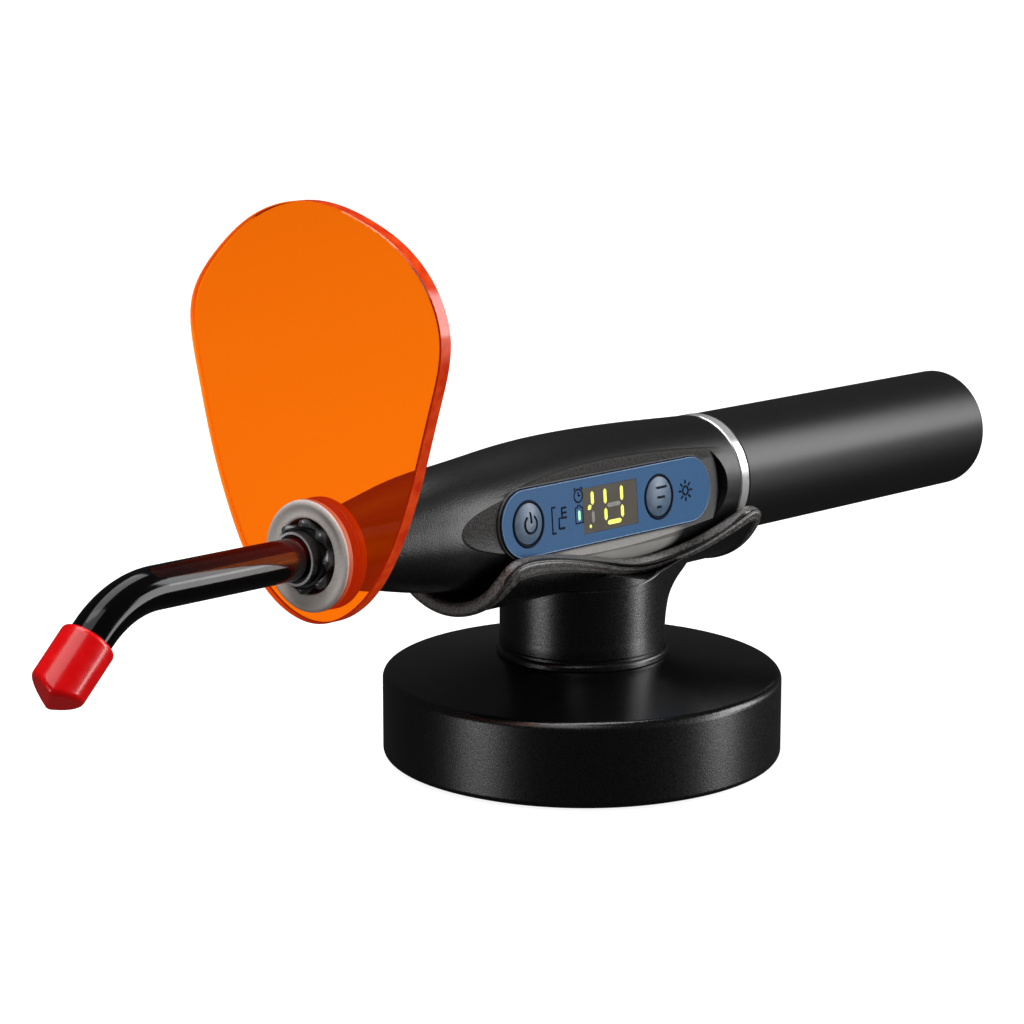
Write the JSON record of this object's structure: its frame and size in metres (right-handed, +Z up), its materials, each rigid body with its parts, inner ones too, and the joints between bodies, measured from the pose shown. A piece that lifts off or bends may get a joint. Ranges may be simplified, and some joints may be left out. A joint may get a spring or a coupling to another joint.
{
  "type": "dental curing light",
  "caption": "Cordless dental curing light with a bent light guide, capped tip and orange eye shield, lying in a round table stand.",
  "frame": {"origin": "centre of the stand's underside, on the table", "axes": "+Z up, +X along the handpiece from the light guide towards the tail, -Y the side of the control panel"},
  "size_m": [0.2693, 0.08, 0.1187],
  "materials": {
    "housing_black": "fine-textured black plastic",
    "barrel_black": "satin black lacquer",
    "bezel_black": "glossy black plastic",
    "panel_blue": "printed satin film",
    "button_blue": "glossy domed plastic",
    "window_smoke": "smoked plastic",
    "board_green": "solder-masked fibreglass",
    "component_black": "moulded component bodies",
    "frame_grey": "moulded inner plastic",
    "ring_chrome": "polished chrome plate",
    "seal_black": "black rubber",
    "lens_clear": "clear moulded lens",
    "heat_aluminium": "machined",
    "emitter_yellow": "phosphor dome",
    "guide_glass": "glossy black-clad glass rod",
    "ferrule_steel": "polished steel",
    "bush_black": "low-friction plastic",
    "collet_dark": "blackened metal",
    "cap_red": "glossy soft vinyl",
    "grommet_grey": "matte translucent silicone",
    "shield_orange": "clear orange light filter",
    "cell_wrap": "shrink-wrapped battery cell",
    "contact_brass": "bright contact metal",
    "wire_red": "insulated wire",
    "stand_black": "fine-grained black plastic",
    "base_black": "fine-grained black plastic",
    "liner_black": "satin black plastic",
    "pad_rubber": "anti-slip rubber",
    "ballast_iron": "cast weight",
    "screw_steel": "zinc-plated screws"
  },
  "bodies": {
    "stand": {"base_shell": "base_black", "base_plate": "base_black", "base_pad": "pad_rubber", "base_screws": "screw_steel", "ballast_weight": "ballast_iron", "neck_screw": "screw_steel", "stand_body": "stand_black", "cradle_liner": "liner_black", "cradle_screw": "screw_steel"},
    "handpiece": {"front_housing": "housing_black", "panel_bezel": "bezel_black", "control_panel": "panel_blue", "tact_switches": "component_black", "display_module": "component_black", "display_window": "window_smoke", "main_board": "board_green", "board_components": "component_black", "board_carrier": "frame_grey", "buzzer": "component_black", "chrome_ring": "ring_chrome", "ring_seals": "seal_black", "collimator_lens": "lens_clear", "lens_holder": "frame_grey", "led_emitter": "emitter_yellow", "led_board": "heat_aluminium", "heat_sink": "heat_aluminium", "nose_collet": "collet_dark", "contact_board": "board_green", "front_contact": "contact_brass", "battery_leads": "wire_red"},
    "power_key": {"power_button": "button_blue"},
    "mode_key": {"mode_button": "button_blue"},
    "bush": {"guide_bush": "bush_black"},
    "guide": {"light_guide": "guide_glass", "guide_ferrule": "ferrule_steel", "guide_seal": "seal_black"},
    "cap": {"tip_cap": "cap_red"},
    "grommet": {"shield_grommet": "grommet_grey"},
    "shield": {"shield_plate": "shield_orange"},
    "barrel": {"battery_tube": "barrel_black", "tail_cap": "component_black", "charge_jack": "component_black", "jack_pin": "contact_brass", "battery_cell": "cell_wrap", "battery_sleeve": "frame_grey", "battery_spring": "screw_steel", "tail_contact": "contact_brass"}
  },
  "joints": [
    {"name": "handpiece_lift", "type": "slide", "parent": "stand", "child": "handpiece", "axis": [0.0349, 0, 0.9994], "range_m": [0, 0.06]},
    {"name": "guide_swivel", "type": "hinge", "parent": "handpiece", "child": "bush", "pos_m": [-0.06996, 0, 0.05451], "axis": [0.9994, 0, -0.0349], "continuous": true},
    {"name": "guide_pull", "type": "slide", "parent": "bush", "child": "guide", "axis": [-0.9994, 0, 0.0349], "range_m": [0, 0.028]},
    {"name": "cap_pull", "type": "slide", "parent": "guide", "child": "cap", "axis": [-0.7314, 0, -0.682], "range_m": [0, 0.012]},
    {"name": "shield_pull", "type": "slide", "parent": "handpiece", "child": "grommet", "axis": [-0.9994, 0, 0.0349], "range_m": [0, 0.025]},
    {"name": "shield_turn", "type": "hinge", "parent": "grommet", "child": "shield", "pos_m": [-0.07525, 0, 0.0547], "axis": [0.9994, 0, -0.0349], "range_deg": [-90, 90]},
    {"name": "power_press", "type": "slide", "parent": "handpiece", "child": "power_key", "axis": [-0.0036, 0.9945, -0.1045], "range_m": [0, 0.0004], "stiffness_N_per_m": 400, "springref_m": -0.0004},
    {"name": "mode_press", "type": "slide", "parent": "handpiece", "child": "mode_key", "axis": [-0.0036, 0.9945, -0.1045], "range_m": [0, 0.0004], "stiffness_N_per_m": 400, "springref_m": -0.0004},
    {"name": "barrel_pull", "type": "slide", "parent": "handpiece", "child": "barrel", "axis": [0.9994, 0, -0.0349], "range_m": [0, 0.08]}
  ]
}
